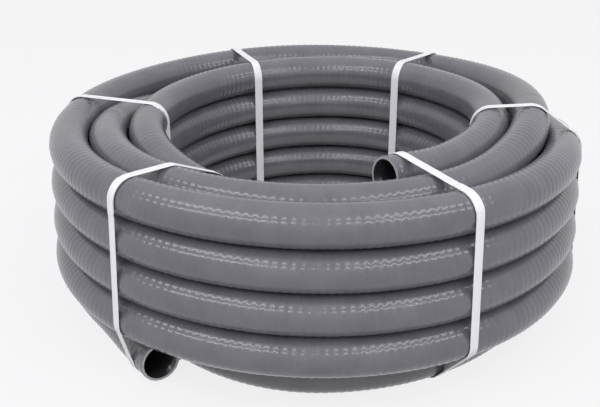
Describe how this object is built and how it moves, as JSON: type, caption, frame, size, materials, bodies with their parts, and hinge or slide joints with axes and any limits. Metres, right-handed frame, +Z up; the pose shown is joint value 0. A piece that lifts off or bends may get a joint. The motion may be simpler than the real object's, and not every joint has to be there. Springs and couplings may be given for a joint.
{
  "type": "roll of flexible waste hose",
  "caption": "Roll of grey ribbed flexible PVC waste hose with two plain cut ends, wound in columns and layers and held by white welded plastic straps.",
  "frame": {"origin": "on the surface that the roll lies on, under the middle of the roll", "axes": "+Z up along the axis of the roll; +Y and -Y the two sides that the slightly oval roll reaches furthest to; the outer cut end lies low on the -X -Y side and the inner cut end on top on the +X -Y side"},
  "size_m": [0.7226, 0.7601, 0.2699],
  "materials": {
    "hose": "satin grey flexible PVC with low ribs",
    "strap": "white polypropylene strapping, finely embossed"
  },
  "bodies": {
    "root": {"hose_coil": "hose", "inner_tail": "hose", "outer_tail": "hose", "strap_right": "strap", "strap_back_right": "strap", "strap_back_left": "strap", "strap_left": "strap", "strap_front_left": "strap", "strap_front_right": "strap"}
  },
  "joints": []
}
